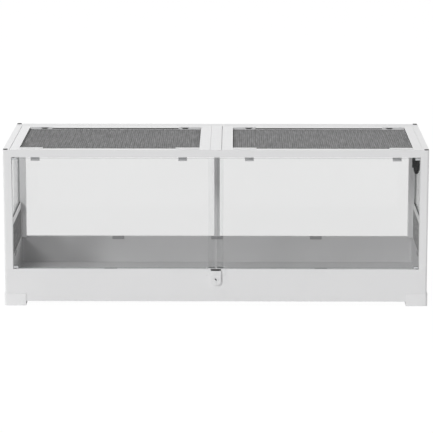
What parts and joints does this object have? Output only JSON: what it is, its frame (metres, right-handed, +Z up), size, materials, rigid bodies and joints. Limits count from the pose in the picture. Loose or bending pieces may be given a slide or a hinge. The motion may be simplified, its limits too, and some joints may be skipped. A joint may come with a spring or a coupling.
{
  "type": "front-opening reptile terrarium",
  "caption": "Wide low glass terrarium with front double doors and centre lock, mesh side vents, waterproof tray base and lift-off mesh lids with slide latches.",
  "frame": {"origin": "centre of the object's footprint, on the surface it stands on", "axes": "+X to the right along the length, as seen from the doors; +Y to the back, away from the doors; +Z up"},
  "size_m": [1.2242, 0.4704, 0.4598],
  "materials": {
    "white_board": "smooth satin white",
    "white_profile": "white powder coat, satin",
    "white_tray": "satin white",
    "bearer_plastic": "plain",
    "foot_plastic": "satin white",
    "clip_grey": "grey, satin",
    "cap_black": "black, satin",
    "screw_steel": "zinc plated",
    "dowel_wood": "plain",
    "clear_glass": "clear, polished",
    "dark_mesh": "black woven wire, matt",
    "bush_black": "black, satin",
    "lock_white": "white, semi gloss",
    "lock_metal": "polished",
    "bolt_black": "black, satin",
    "port_black": "black, satin",
    "pivot_grey": "satin",
    "seal_clear": "clear, flexible",
    "spline_black": "matt",
    "housing_plastic": "satin white",
    "latch_plastic": "satin, pale grey"
  },
  "bodies": {
    "tank": {"front_plinth": "white_board", "rear_plinth": "white_board", "left_plinth": "white_board", "right_plinth": "white_board", "tray": "white_tray", "floor_bearers": "bearer_plastic", "corner_feet": "foot_plastic", "tray_clips": "clip_grey", "post_front_left": "white_profile", "post_front_right": "white_profile", "post_rear_left": "white_profile", "post_rear_right": "white_profile", "post_rear_centre": "white_profile", "front_header": "white_profile", "rear_rail": "white_profile", "left_top_rail": "white_profile", "right_top_rail": "white_profile", "centre_beam": "white_profile", "corner_caps": "cap_black", "frame_screws": "screw_steel", "post_dowels": "dowel_wood", "rear_glass_left": "clear_glass", "rear_glass_right": "clear_glass", "left_side_glass": "clear_glass", "right_side_glass": "clear_glass", "left_vent_frame": "white_profile", "right_vent_frame": "white_profile", "left_vent_mesh": "dark_mesh", "right_vent_mesh": "dark_mesh", "pivot_bushes": "bush_black", "lock_plate": "lock_white", "lock_housing": "lock_white", "lock_screws": "screw_steel", "cable_port": "port_black"},
    "left_door": {"left_door_glass": "clear_glass", "left_door_pivots": "pivot_grey", "left_door_seal": "seal_clear"},
    "right_door": {"right_door_glass": "clear_glass", "right_door_pivots": "pivot_grey", "right_door_seal": "seal_clear"},
    "lock_key_cylinder": {"lock_cylinder": "lock_metal"},
    "lock_slide_bolt": {"lock_bolt": "bolt_black"},
    "left_lid": {"left_lid_frame": "white_profile", "left_lid_screen": "dark_mesh", "left_lid_spline": "spline_black", "left_lid_housings": "housing_plastic"},
    "left_front_outer_latch": {"left_latch_front_outer": "latch_plastic"},
    "left_front_inner_latch": {"left_latch_front_inner": "latch_plastic"},
    "left_rear_outer_latch": {"left_latch_rear_outer": "latch_plastic"},
    "left_rear_inner_latch": {"left_latch_rear_inner": "latch_plastic"},
    "right_lid": {"right_lid_frame": "white_profile", "right_lid_screen": "dark_mesh", "right_lid_spline": "spline_black", "right_lid_housings": "housing_plastic"},
    "right_front_outer_latch": {"right_latch_front_outer": "latch_plastic"},
    "right_front_inner_latch": {"right_latch_front_inner": "latch_plastic"},
    "right_rear_outer_latch": {"right_latch_rear_outer": "latch_plastic"},
    "right_rear_inner_latch": {"right_latch_rear_inner": "latch_plastic"},
    "port_flap": {"port_shutter": "port_black"}
  },
  "joints": [
    {"name": "left_door_hinge", "type": "hinge", "parent": "tank", "child": "left_door", "pos_m": [-0.5801, -0.21995, 0.1084], "axis": [0, 0, -1], "range_deg": [0, 95]},
    {"name": "right_door_hinge", "type": "hinge", "parent": "tank", "child": "right_door", "pos_m": [0.5801, -0.21995, 0.1084], "axis": [0, 0, 1], "range_deg": [0, 95]},
    {"name": "lock_turn", "type": "hinge", "parent": "tank", "child": "lock_key_cylinder", "pos_m": [0, -0.22945, 0.08], "axis": [0, -1, 0], "range_deg": [0, 90]},
    {"name": "bolt_slide", "type": "slide", "parent": "tank", "child": "lock_slide_bolt", "axis": [0, 0, 1], "range_m": [0, 0.011]},
    {"name": "left_lid_lift", "type": "slide", "parent": "tank", "child": "left_lid", "axis": [0, 0, 1], "range_m": [0, 0.12]},
    {"name": "left_front_outer_latch_slide", "type": "slide", "parent": "left_lid", "child": "left_front_outer_latch", "axis": [0, -1, 0], "range_m": [0, 0.0034]},
    {"name": "left_front_inner_latch_slide", "type": "slide", "parent": "left_lid", "child": "left_front_inner_latch", "axis": [0, -1, 0], "range_m": [0, 0.0034]},
    {"name": "left_rear_outer_latch_slide", "type": "slide", "parent": "left_lid", "child": "left_rear_outer_latch", "axis": [0, 1, 0], "range_m": [0, 0.0034]},
    {"name": "left_rear_inner_latch_slide", "type": "slide", "parent": "left_lid", "child": "left_rear_inner_latch", "axis": [0, 1, 0], "range_m": [0, 0.0034]},
    {"name": "right_lid_lift", "type": "slide", "parent": "tank", "child": "right_lid", "axis": [0, 0, 1], "range_m": [0, 0.12]},
    {"name": "right_front_outer_latch_slide", "type": "slide", "parent": "right_lid", "child": "right_front_outer_latch", "axis": [0, -1, 0], "range_m": [0, 0.0034]},
    {"name": "right_front_inner_latch_slide", "type": "slide", "parent": "right_lid", "child": "right_front_inner_latch", "axis": [0, -1, 0], "range_m": [0, 0.0034]},
    {"name": "right_rear_outer_latch_slide", "type": "slide", "parent": "right_lid", "child": "right_rear_outer_latch", "axis": [0, 1, 0], "range_m": [0, 0.0034]},
    {"name": "right_rear_inner_latch_slide", "type": "slide", "parent": "right_lid", "child": "right_rear_inner_latch", "axis": [0, 1, 0], "range_m": [0, 0.0034]},
    {"name": "port_flap_hinge", "type": "hinge", "parent": "tank", "child": "port_flap", "pos_m": [0.594, -0.04285, 0.424], "axis": [0, 1, 0], "range_deg": [0, 70]}
  ],
  "couplings": [
    {"joint": "bolt_slide", "follows": "lock_turn", "m_per_rad": 0.007}
  ]
}
